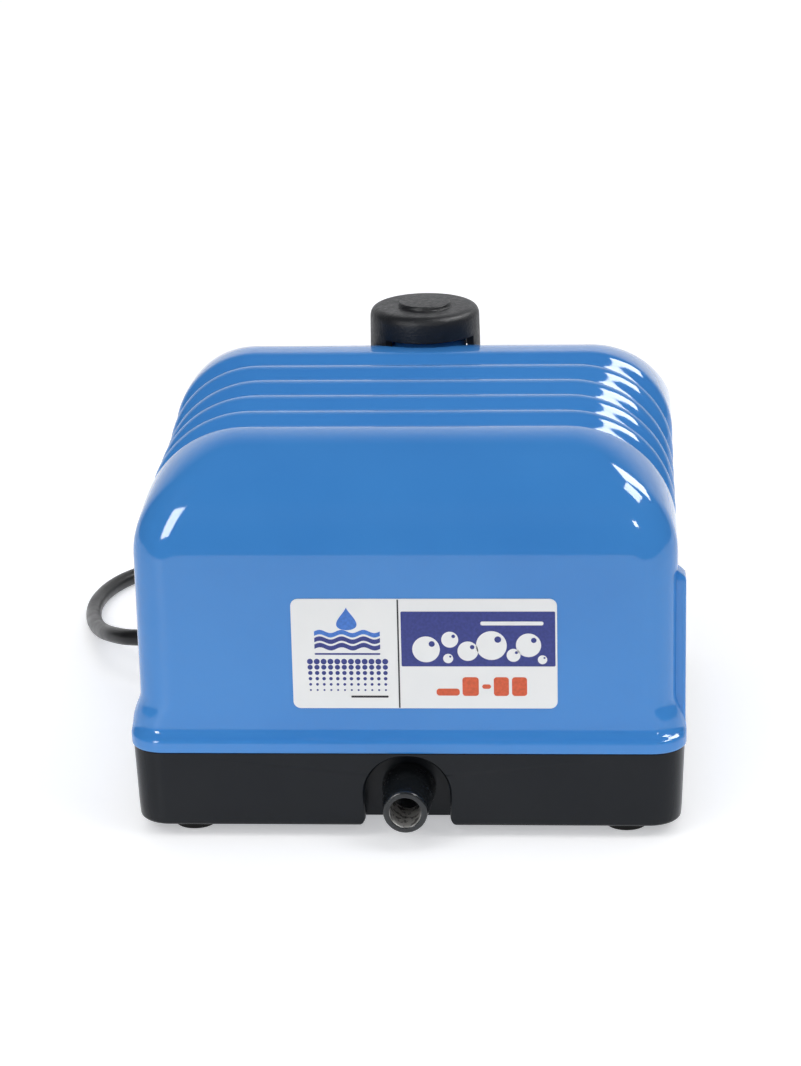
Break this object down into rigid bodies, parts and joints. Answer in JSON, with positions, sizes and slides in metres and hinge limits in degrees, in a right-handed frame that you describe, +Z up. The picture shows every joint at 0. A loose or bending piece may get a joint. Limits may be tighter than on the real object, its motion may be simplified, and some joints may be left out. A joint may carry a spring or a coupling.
{
  "type": "diaphragm air pump",
  "caption": "Mains diaphragm air pump for ponds: ribbed cast cover on a plastic base, outlet nozzle in front, intake cap on top, rubber feet and a lead with plug.",
  "frame": {"origin": "on the floor, under the middle of the pump's box; the nozzle counts, the lead and its plug do not", "axes": "+Z up from the feet, -Y is the front that the outlet and the label face, +X is the right-hand side seen from the front"},
  "size_m": [0.2264, 0.2992, 0.1402],
  "materials": {
    "blue_paint": "gloss paint on a cast cover",
    "black_plastic": "semi-gloss moulded",
    "cap_plastic": "spark-textured moulding",
    "rubber": "matt",
    "cord_jacket": "smooth sheath",
    "nozzle_metal": "black coating, bare metal in the bore",
    "sticker": "printed film",
    "foam": "open-cell foam",
    "steel": "zinc plated",
    "laminated_steel": "stacked laminations",
    "magnet": "sintered ferrite",
    "pale_plastic": "moulded",
    "copper": "enamelled winding wire",
    "aluminium": "die cast",
    "brass": "machined"
  },
  "bodies": {
    "housing": {"top_cover": "blue_paint", "base_casing": "black_plastic", "head_cover_left": "black_plastic", "head_cover_right": "black_plastic", "air_chamber": "black_plastic", "plug_body": "black_plastic", "cover_gasket": "rubber", "foot_front_left": "rubber", "foot_front_right": "rubber", "foot_rear_left": "rubber", "foot_rear_right": "rubber", "isolation_mount_front_left": "rubber", "isolation_mount_front_right": "rubber", "isolation_mount_rear_left": "rubber", "isolation_mount_rear_right": "rubber", "diaphragm_left": "rubber", "diaphragm_right": "rubber", "intake_flap_left": "rubber", "intake_flap_right": "rubber", "exhaust_flap_left": "rubber", "exhaust_flap_right": "rubber", "air_hose_left": "rubber", "air_hose_right": "rubber", "outlet_hose": "rubber", "strain_relief": "cord_jacket", "cord_run": "cord_jacket", "cord_coil": "cord_jacket", "cord_tail": "cord_jacket", "outlet_nozzle": "nozzle_metal", "front_label": "sticker", "intake_filter": "foam", "cover_screw_front_left": "steel", "cover_screw_front_right": "steel", "cover_screw_rear_left": "steel", "cover_screw_rear_right": "steel", "motor_frame": "steel", "core_front": "laminated_steel", "core_rear": "laminated_steel", "bobbin_front": "pale_plastic", "bobbin_rear": "pale_plastic", "terminal_block": "pale_plastic", "cord_tie": "pale_plastic", "winding_front": "copper", "winding_rear": "copper", "pump_head_left": "aluminium", "pump_head_right": "aluminium", "plug_pin_left": "brass", "plug_pin_right": "brass", "plug_pin_earth": "brass"},
    "armature_assembly": {"armature": "pale_plastic", "magnet_left": "magnet", "magnet_right": "magnet", "clamp_disc_inner_left": "aluminium", "clamp_disc_inner_right": "aluminium", "clamp_disc_outer_left": "aluminium", "clamp_disc_outer_right": "aluminium", "shaft_nut_left": "brass", "shaft_nut_right": "brass"},
    "cap": {"intake_cap": "cap_plastic"}
  },
  "joints": [
    {"name": "armature_slide", "type": "slide", "parent": "housing", "child": "armature_assembly", "axis": [1, 0, 0], "range_m": [-0.0025, 0.0025], "stiffness_N_per_m": 800, "deforming": ["diaphragm_left", "diaphragm_right"]},
    {"name": "intake_cap_lift", "type": "slide", "parent": "housing", "child": "cap", "axis": [0, 0, 1], "range_m": [0, 0.04]}
  ]
}
